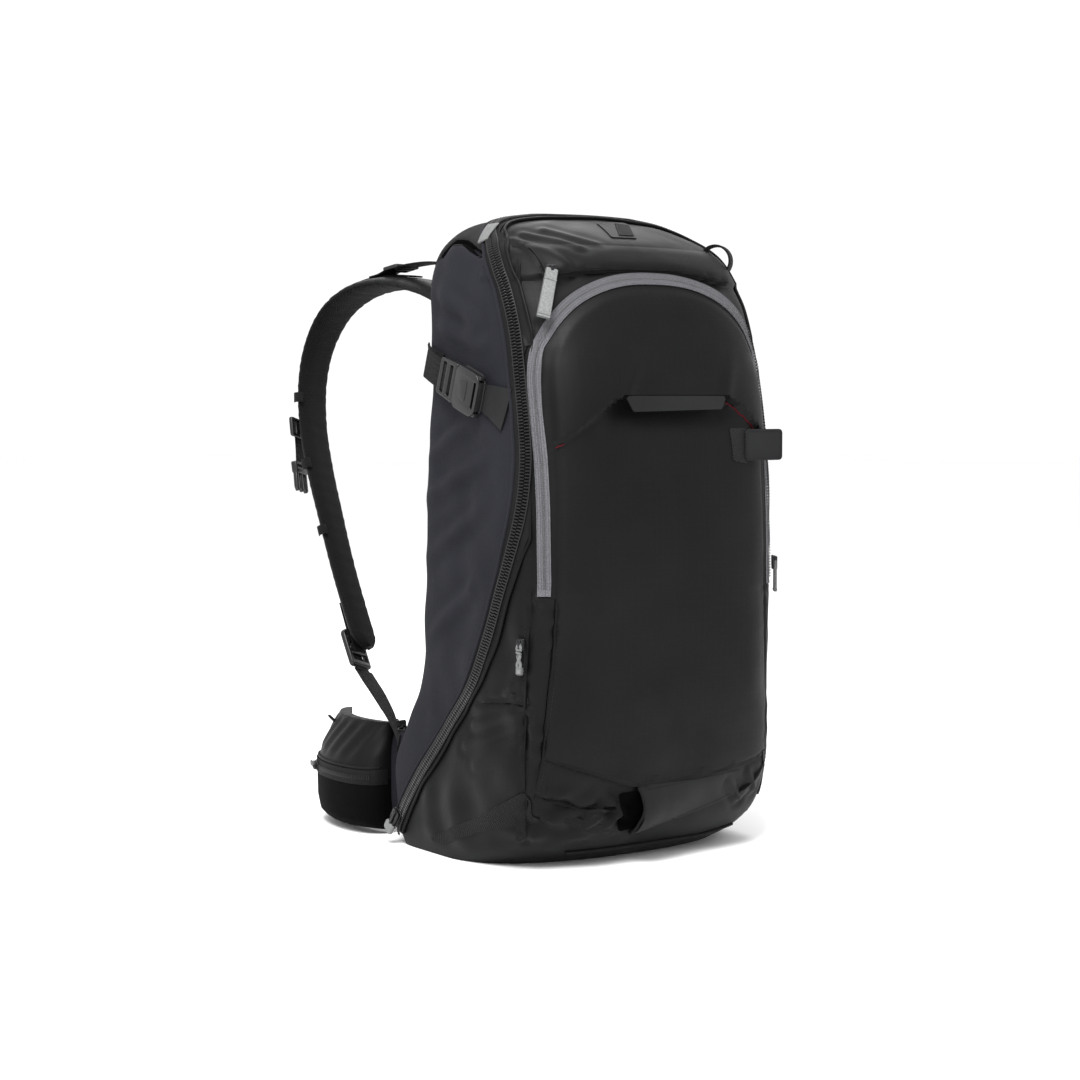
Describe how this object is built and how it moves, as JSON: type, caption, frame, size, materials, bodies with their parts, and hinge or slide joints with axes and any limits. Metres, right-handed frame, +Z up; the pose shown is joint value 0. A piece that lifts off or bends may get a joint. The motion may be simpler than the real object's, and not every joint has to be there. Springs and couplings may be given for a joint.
{
  "type": "avalanche airbag backpack",
  "caption": "Ski-touring backpack with a zipped back panel, arched tool pocket, padded harness and hip belt, and a gas airbag system with a pull trigger.",
  "frame": {"origin": "middle of the pack's base, on the floor that the base stands on", "axes": "+Z up; -Y out of the pack's front face; +Y towards the wearer's back and straps; +X to the right seen from the front"},
  "size_m": [0.302, 0.4121, 0.5329],
  "materials": {
    "shell_fabric": "coated nylon, fine plain weave, low sheen",
    "gusset_fabric": "ripstop nylon, fine grid, low sheen",
    "tough_fabric": "heavy coated nylon, coarse weave",
    "pad_mesh": "air mesh over foam",
    "webbing": "ribbed nylon webbing",
    "zip_black": "woven zip tape with coil teeth",
    "zip_grey": "heather grey zip tape",
    "pull_grey": "ribbed grey ribbon",
    "hook_tab": "hook-and-loop tape",
    "balloon_fabric": "light woven balloon cloth, folded",
    "hard_plastic": "satin moulded acetal",
    "red_plastic": "satin moulded",
    "sheet_plastic": "translucent sheet, satin",
    "slider_metal": "dark plated die casting",
    "stay_metal": "brushed",
    "cylinder_metal": "satin anodised",
    "piston_brass": "machined"
  },
  "bodies": {
    "front_pack": {"main_shell": "shell_fabric", "tool_pocket": "shell_fabric", "axe_sleeve": "tough_fabric", "ski_bands": "tough_fabric", "base_panel": "tough_fabric", "main_zip_front": "zip_black", "tool_zip_tape": "zip_grey", "goggle_zip": "zip_black", "axe_top_loop": "webbing"},
    "tool_lid": {"tool_lid": "shell_fabric", "tool_zip_lid_tape": "zip_grey", "lid_strip": "tough_fabric"},
    "axe_tab": {"axe_tab": "hook_tab"},
    "goggle_flap": {"goggle_flap": "shell_fabric"},
    "main_zip_slider": {"main_zip_slider": "slider_metal"},
    "main_zip_pull": {"main_zip_pull": "pull_grey"},
    "goggle_zip_slider": {"goggle_zip_slider": "slider_metal"},
    "goggle_zip_pull": {"goggle_zip_pull": "pull_grey"},
    "tool_zip_slider": {"tool_zip_slider": "slider_metal"},
    "tool_zip_pull": {"tool_zip_pull": "pull_grey"},
    "side_zip_slider": {"side_zip_slider": "slider_metal"},
    "side_zip_pull": {"side_zip_pull": "pull_grey"},
    "back_panel": {"back_door": "gusset_fabric", "main_zip_rear": "zip_black", "frame_sheet": "sheet_plastic", "frame_stays": "stay_metal", "back_pads": "pad_mesh", "lumbar_pad": "pad_mesh", "strap_yoke": "shell_fabric", "airbag_balloon": "balloon_fabric", "inflator": "hard_plastic", "trigger_cable": "hard_plastic", "compression_tab_left": "hard_plastic", "compression_tab_right": "hard_plastic", "lower_webbing_left": "webbing", "lower_webbing_right": "webbing", "load_lifter_left": "webbing", "load_lifter_right": "webbing"},
    "compression_left": {"compression_strap_left": "hard_plastic"},
    "compression_right": {"compression_strap_right": "hard_plastic"},
    "haul_loop": {"haul_loop": "webbing"},
    "gas_cylinder": {"gas_cylinder": "cylinder_metal"},
    "gauge_needle": {"gauge_needle": "red_plastic"},
    "release_piston": {"release_piston": "piston_brass"},
    "strap_left": {"shoulder_strap_left": "pad_mesh", "ladder_lock_left": "hard_plastic"},
    "strap_right": {"shoulder_strap_right": "pad_mesh", "ladder_lock_right": "hard_plastic"},
    "sternum_left": {"sternum_clip_left": "hard_plastic"},
    "sternum_right": {"sternum_clip_right": "hard_plastic"},
    "trigger": {"trigger_handle": "red_plastic"},
    "hip_left": {"hip_wing_left": "pad_mesh", "hip_pocket_left": "shell_fabric", "hip_buckle_left": "hard_plastic"},
    "hip_right": {"hip_wing_right": "pad_mesh", "hip_pocket_right": "shell_fabric", "hip_buckle_right": "hard_plastic"},
    "hip_slider_left": {"hip_zip_slider_left": "slider_metal"},
    "hip_slider_right": {"hip_zip_slider_right": "slider_metal"}
  },
  "joints": [
    {"name": "back_panel_hinge", "type": "hinge", "parent": "front_pack", "child": "back_panel", "pos_m": [0, 0.122, 0.0016], "axis": [-1, 0, 0], "range_deg": [0, 60]},
    {"name": "tool_lid_hinge", "type": "hinge", "parent": "front_pack", "child": "tool_lid", "pos_m": [0, -0.0975, 0.2245], "axis": [1, 0, 0], "range_deg": [0, 110]},
    {"name": "axe_tab_hinge", "type": "hinge", "parent": "tool_lid", "child": "axe_tab", "pos_m": [0.0762, -0.0957, 0.342], "axis": [0, 0, -1], "range_deg": [0, 150]},
    {"name": "goggle_flap_hinge", "type": "hinge", "parent": "front_pack", "child": "goggle_flap", "pos_m": [0, -0.018, 0.5145], "axis": [-1, 0, 0], "range_deg": [0, 45]},
    {"name": "main_zip_slide", "type": "slide", "parent": "front_pack", "child": "main_zip_slider", "axis": [0, -0.6358, 0.7718], "range_m": [0, 0.04]},
    {"name": "main_zip_pull_hinge", "type": "hinge", "parent": "main_zip_slider", "child": "main_zip_pull", "pos_m": [-0.1438, 0.1034, 0.0248], "axis": [0, 0.7986, 0.6018], "range_deg": [0, 150]},
    {"name": "goggle_zip_slide", "type": "hinge", "parent": "front_pack", "child": "goggle_zip_slider", "pos_m": [0, 0.2146, 0.48], "axis": [0, 0, 1], "range_deg": [0, 36]},
    {"name": "goggle_zip_pull_hinge", "type": "hinge", "parent": "goggle_zip_slider", "child": "goggle_zip_pull", "pos_m": [-0.0947, -0.0605, 0.4825], "axis": [-0.9455, 0.3256, 0], "range_deg": [0, 75]},
    {"name": "tool_zip_slide", "type": "slide", "parent": "front_pack", "child": "tool_zip_slider", "axis": [-0.0599, 0, 0.9982], "range_m": [0, 0.045]},
    {"name": "tool_zip_pull_hinge", "type": "hinge", "parent": "tool_zip_slider", "child": "tool_zip_pull", "pos_m": [0.1239, -0.0791, 0.243], "axis": [-0.5299, -0.848, 0], "range_deg": [0, 150]},
    {"name": "side_zip_slide", "type": "slide", "parent": "front_pack", "child": "side_zip_slider", "axis": [0, 0, 1], "range_m": [0, 0.1]},
    {"name": "side_zip_pull_hinge", "type": "hinge", "parent": "side_zip_slider", "child": "side_zip_pull", "pos_m": [-0.1309, -0.0672, 0.187], "axis": [-0.4695, 0.8829, 0], "range_deg": [0, 150]},
    {"name": "compression_slide_left", "type": "slide", "parent": "back_panel", "child": "compression_left", "axis": [0, 0.9455, 0.3256], "range_m": [0, 0.02]},
    {"name": "compression_slide_right", "type": "slide", "parent": "back_panel", "child": "compression_right", "axis": [0, 0.9455, 0.3256], "range_m": [0, 0.02]},
    {"name": "haul_loop_hinge", "type": "hinge", "parent": "back_panel", "child": "haul_loop", "pos_m": [0, 0.0994, 0.479], "axis": [-1, 0, 0], "range_deg": [0, 70]},
    {"name": "gas_cylinder_screw", "type": "hinge", "parent": "back_panel", "child": "gas_cylinder", "pos_m": [0.035, 0.046, 0.24], "axis": [0, 0, 1], "continuous": true},
    {"name": "gauge_needle_hinge", "type": "hinge", "parent": "back_panel", "child": "gauge_needle", "pos_m": [0.02, 0.018, 0.362], "axis": [0, -1, 0], "range_deg": [-100, 40]},
    {"name": "release_piston_slide", "type": "slide", "parent": "back_panel", "child": "release_piston", "axis": [-1, 0, 0], "range_m": [0, 0.006]},
    {"name": "shoulder_strap_left_hinge", "type": "hinge", "parent": "back_panel", "child": "strap_left", "pos_m": [-0.055, 0.099, 0.45], "axis": [1, 0, 0], "range_deg": [0, 25], "deforming": ["load_lifter_left", "lower_webbing_left"]},
    {"name": "shoulder_strap_right_hinge", "type": "hinge", "parent": "back_panel", "child": "strap_right", "pos_m": [0.055, 0.099, 0.45], "axis": [1, 0, 0], "range_deg": [0, 25], "deforming": ["load_lifter_right", "lower_webbing_right"]},
    {"name": "sternum_slide_left", "type": "slide", "parent": "strap_left", "child": "sternum_left", "axis": [0.0485, 0.2423, 0.969], "range_m": [-0.03, 0.03]},
    {"name": "sternum_slide_right", "type": "slide", "parent": "strap_right", "child": "sternum_right", "axis": [-0.0485, 0.2423, 0.969], "range_m": [-0.03, 0.03]},
    {"name": "trigger_pull", "type": "slide", "parent": "strap_right", "child": "trigger", "axis": [-0.0212, -0.4344, -0.9005], "range_m": [0, 0.03]},
    {"name": "hip_wing_left_hinge", "type": "hinge", "parent": "back_panel", "child": "hip_left", "pos_m": [-0.138, 0.131, 0.05], "axis": [0, 0, 1], "range_deg": [0, 60]},
    {"name": "hip_wing_right_hinge", "type": "hinge", "parent": "back_panel", "child": "hip_right", "pos_m": [0.138, 0.131, 0.05], "axis": [0, 0, -1], "range_deg": [0, 60]},
    {"name": "hip_zip_slide_left", "type": "hinge", "parent": "hip_left", "child": "hip_slider_left", "pos_m": [-0.025, 0.19, 0.05], "axis": [0, 0, 1], "range_deg": [0, 40]},
    {"name": "hip_zip_slide_right", "type": "hinge", "parent": "hip_right", "child": "hip_slider_right", "pos_m": [0.025, 0.19, 0.05], "axis": [0, 0, -1], "range_deg": [0, 40]}
  ],
  "couplings": [
    {"joint": "release_piston_slide", "follows": "trigger_pull", "ratio": 0.2}
  ]
}
